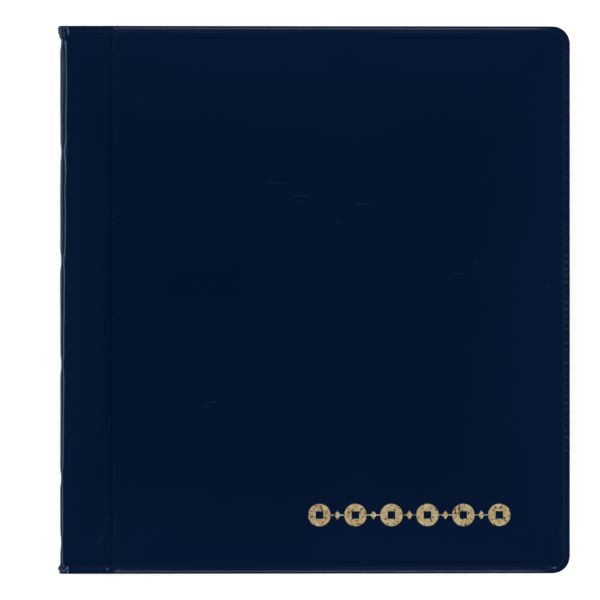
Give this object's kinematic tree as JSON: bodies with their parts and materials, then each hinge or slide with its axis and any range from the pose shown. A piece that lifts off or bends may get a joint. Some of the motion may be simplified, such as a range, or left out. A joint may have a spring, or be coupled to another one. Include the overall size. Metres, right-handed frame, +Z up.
{
  "type": "coin album",
  "caption": "Squarish ring album with welded soft film covers over board, a hinged spine and a ring mechanism that holds clear coin-pocket leaves and cards.",
  "frame": {"origin": "middle of the closed album's footprint, on the surface its back cover lies on", "axes": "+X from the spine to the fore-edge, +Y from foot to head, +Z up out of the front cover"},
  "size_m": [0.2472, 0.265, 0.035],
  "materials": {
    "greyboard": "bare grey-brown pressed board",
    "navy_film": "satin navy PVC film with a fine grain",
    "navy_lining": "satin navy PVC lining film",
    "gold_foil": "hot-stamped gold foil, speckled where the grain shows through",
    "ring_steel": "bright nickel plating",
    "clear_film": "clear soft PVC with welded lines",
    "card_stock": "smooth off-white card"
  },
  "bodies": {
    "back_cover": {"back_board": "greyboard", "back_strip_board": "greyboard", "back_outer_film": "navy_film", "back_lining": "navy_lining"},
    "spine": {"spine_board": "greyboard", "spine_outer_film": "navy_film", "spine_lining": "navy_lining", "back_fold_roll": "navy_film", "front_fold_roll": "navy_film", "ring_plate": "ring_steel", "spine_rivets": "ring_steel"},
    "front_strip": {"front_strip_board": "greyboard", "front_strip_outer_film": "navy_film", "front_strip_lining": "navy_lining", "front_seam_band": "navy_film"},
    "front_cover": {"front_board": "greyboard", "front_outer_film": "navy_film", "front_lining": "navy_lining", "foil_ornament": "gold_foil"},
    "upper_jaw": {"upper_blade": "ring_steel", "upper_ring_1": "ring_steel", "upper_ring_2": "ring_steel", "upper_ring_3": "ring_steel", "upper_ring_4": "ring_steel"},
    "lower_jaw": {"lower_blade": "ring_steel", "lower_ring_1": "ring_steel", "lower_ring_2": "ring_steel", "lower_ring_3": "ring_steel", "lower_ring_4": "ring_steel"},
    "head_lever": {"head_lever": "ring_steel"},
    "foot_lever": {"foot_lever": "ring_steel"},
    "pocket_sheet_01": {"pocket_sheet_01": "clear_film"},
    "card_01": {"card_01": "card_stock"},
    "pocket_sheet_02": {"pocket_sheet_02": "clear_film"},
    "card_02": {"card_02": "card_stock"},
    "pocket_sheet_03": {"pocket_sheet_03": "clear_film"},
    "card_03": {"card_03": "card_stock"},
    "pocket_sheet_04": {"pocket_sheet_04": "clear_film"},
    "card_04": {"card_04": "card_stock"},
    "pocket_sheet_05": {"pocket_sheet_05": "clear_film"},
    "card_05": {"card_05": "card_stock"},
    "pocket_sheet_06": {"pocket_sheet_06": "clear_film"},
    "card_06": {"card_06": "card_stock"},
    "pocket_sheet_07": {"pocket_sheet_07": "clear_film"},
    "card_07": {"card_07": "card_stock"},
    "pocket_sheet_08": {"pocket_sheet_08": "clear_film"},
    "card_08": {"card_08": "card_stock"},
    "pocket_sheet_09": {"pocket_sheet_09": "clear_film"},
    "card_09": {"card_09": "card_stock"},
    "pocket_sheet_10": {"pocket_sheet_10": "clear_film"},
    "card_10": {"card_10": "card_stock"}
  },
  "joints": [
    {"name": "spine_fold", "type": "hinge", "parent": "back_cover", "child": "spine", "pos_m": [-0.12195, 0, 0.00115], "axis": [0, -1, 0], "range_deg": [0, 90], "deforming": ["back_fold_roll"]},
    {"name": "front_strip_fold", "type": "hinge", "parent": "spine", "child": "front_strip", "pos_m": [-0.12195, 0, 0.03385], "axis": [0, -1, 0], "range_deg": [0, 90], "deforming": ["front_fold_roll"]},
    {"name": "front_seam", "type": "hinge", "parent": "front_strip", "child": "front_cover", "pos_m": [-0.0989, 0, 0.03385], "axis": [0, -1, 0], "range_deg": [0, 2.7], "deforming": ["front_seam_band"]},
    {"name": "ring_opening", "type": "hinge", "parent": "spine", "child": "upper_jaw", "pos_m": [-0.1195, 0, 0.02767], "axis": [0, -1, 0], "range_deg": [0, 7]},
    {"name": "lower_ring_opening", "type": "hinge", "parent": "spine", "child": "lower_jaw", "pos_m": [-0.1195, 0, 0.00733], "axis": [0, 1, 0], "range_deg": [0, 7]},
    {"name": "head_lever_press", "type": "hinge", "parent": "spine", "child": "head_lever", "pos_m": [-0.118, 0.1104, 0.0175], "axis": [0, 0, 1], "range_deg": [0, 28]},
    {"name": "foot_lever_press", "type": "hinge", "parent": "spine", "child": "foot_lever", "pos_m": [-0.118, -0.1104, 0.0175], "axis": [0, 0, -1], "range_deg": [0, 28]},
    {"name": "pocket_sheet_01_turn", "type": "hinge", "parent": "spine", "child": "pocket_sheet_01", "pos_m": [-0.1063, 0, 0.0175], "axis": [0, -1, 0], "range_deg": [-91, 93]},
    {"name": "card_01_turn", "type": "hinge", "parent": "spine", "child": "card_01", "pos_m": [-0.1063, 0, 0.0175], "axis": [0, -1, 0], "range_deg": [-91, 93]},
    {"name": "pocket_sheet_02_turn", "type": "hinge", "parent": "spine", "child": "pocket_sheet_02", "pos_m": [-0.1063, 0, 0.0175], "axis": [0, -1, 0], "range_deg": [-91, 93]},
    {"name": "card_02_turn", "type": "hinge", "parent": "spine", "child": "card_02", "pos_m": [-0.1063, 0, 0.0175], "axis": [0, -1, 0], "range_deg": [-91, 93]},
    {"name": "pocket_sheet_03_turn", "type": "hinge", "parent": "spine", "child": "pocket_sheet_03", "pos_m": [-0.1063, 0, 0.0175], "axis": [0, -1, 0], "range_deg": [-91, 93]},
    {"name": "card_03_turn", "type": "hinge", "parent": "spine", "child": "card_03", "pos_m": [-0.1063, 0, 0.0175], "axis": [0, -1, 0], "range_deg": [-91, 93]},
    {"name": "pocket_sheet_04_turn", "type": "hinge", "parent": "spine", "child": "pocket_sheet_04", "pos_m": [-0.1063, 0, 0.0175], "axis": [0, -1, 0], "range_deg": [-91, 93]},
    {"name": "card_04_turn", "type": "hinge", "parent": "spine", "child": "card_04", "pos_m": [-0.1063, 0, 0.0175], "axis": [0, -1, 0], "range_deg": [-91, 93]},
    {"name": "pocket_sheet_05_turn", "type": "hinge", "parent": "spine", "child": "pocket_sheet_05", "pos_m": [-0.1063, 0, 0.0175], "axis": [0, -1, 0], "range_deg": [-91, 93]},
    {"name": "card_05_turn", "type": "hinge", "parent": "spine", "child": "card_05", "pos_m": [-0.1063, 0, 0.0175], "axis": [0, -1, 0], "range_deg": [-91, 93]},
    {"name": "pocket_sheet_06_turn", "type": "hinge", "parent": "spine", "child": "pocket_sheet_06", "pos_m": [-0.1063, 0, 0.0175], "axis": [0, -1, 0], "range_deg": [-91, 93]},
    {"name": "card_06_turn", "type": "hinge", "parent": "spine", "child": "card_06", "pos_m": [-0.1063, 0, 0.0175], "axis": [0, -1, 0], "range_deg": [-91, 93]},
    {"name": "pocket_sheet_07_turn", "type": "hinge", "parent": "spine", "child": "pocket_sheet_07", "pos_m": [-0.1063, 0, 0.0175], "axis": [0, -1, 0], "range_deg": [-91, 93]},
    {"name": "card_07_turn", "type": "hinge", "parent": "spine", "child": "card_07", "pos_m": [-0.1063, 0, 0.0175], "axis": [0, -1, 0], "range_deg": [-91, 93]},
    {"name": "pocket_sheet_08_turn", "type": "hinge", "parent": "spine", "child": "pocket_sheet_08", "pos_m": [-0.1063, 0, 0.0175], "axis": [0, -1, 0], "range_deg": [-91, 93]},
    {"name": "card_08_turn", "type": "hinge", "parent": "spine", "child": "card_08", "pos_m": [-0.1063, 0, 0.0175], "axis": [0, -1, 0], "range_deg": [-91, 93]},
    {"name": "pocket_sheet_09_turn", "type": "hinge", "parent": "spine", "child": "pocket_sheet_09", "pos_m": [-0.1063, 0, 0.0175], "axis": [0, -1, 0], "range_deg": [-91, 93]},
    {"name": "card_09_turn", "type": "hinge", "parent": "spine", "child": "card_09", "pos_m": [-0.1063, 0, 0.0175], "axis": [0, -1, 0], "range_deg": [-91, 93]},
    {"name": "pocket_sheet_10_turn", "type": "hinge", "parent": "spine", "child": "pocket_sheet_10", "pos_m": [-0.1063, 0, 0.0175], "axis": [0, -1, 0], "range_deg": [-91, 93]},
    {"name": "card_10_turn", "type": "hinge", "parent": "spine", "child": "card_10", "pos_m": [-0.1063, 0, 0.0175], "axis": [0, -1, 0], "range_deg": [-91, 93]}
  ],
  "couplings": [
    {"joint": "front_strip_fold", "follows": "spine_fold", "ratio": 1},
    {"joint": "front_seam", "follows": "spine_fold", "ratio": 0.03},
    {"joint": "lower_ring_opening", "follows": "ring_opening", "ratio": 1},
    {"joint": "head_lever_press", "follows": "ring_opening", "ratio": 4},
    {"joint": "foot_lever_press", "follows": "ring_opening", "ratio": 4},
    {"joint": "pocket_sheet_01_turn", "follows": "spine_fold", "ratio": -1},
    {"joint": "card_01_turn", "follows": "spine_fold", "ratio": -1},
    {"joint": "pocket_sheet_02_turn", "follows": "spine_fold", "ratio": -1},
    {"joint": "card_02_turn", "follows": "spine_fold", "ratio": -1},
    {"joint": "pocket_sheet_03_turn", "follows": "spine_fold", "ratio": -1},
    {"joint": "card_03_turn", "follows": "spine_fold", "ratio": -1},
    {"joint": "pocket_sheet_04_turn", "follows": "spine_fold", "ratio": -1},
    {"joint": "card_04_turn", "follows": "spine_fold", "ratio": -1},
    {"joint": "pocket_sheet_05_turn", "follows": "spine_fold", "ratio": -1},
    {"joint": "card_05_turn", "follows": "spine_fold", "ratio": -1},
    {"joint": "pocket_sheet_06_turn", "follows": "spine_fold", "ratio": 1.0275},
    {"joint": "card_06_turn", "follows": "spine_fold", "ratio": 1.0275},
    {"joint": "pocket_sheet_07_turn", "follows": "spine_fold", "ratio": 1.0275},
    {"joint": "card_07_turn", "follows": "spine_fold", "ratio": 1.0275},
    {"joint": "pocket_sheet_08_turn", "follows": "spine_fold", "ratio": 1.0275},
    {"joint": "card_08_turn", "follows": "spine_fold", "ratio": 1.0275},
    {"joint": "pocket_sheet_09_turn", "follows": "spine_fold", "ratio": 1.0275},
    {"joint": "card_09_turn", "follows": "spine_fold", "ratio": 1.0275},
    {"joint": "pocket_sheet_10_turn", "follows": "spine_fold", "ratio": 1.0275},
    {"joint": "card_10_turn", "follows": "spine_fold", "ratio": 1.0275}
  ]
}
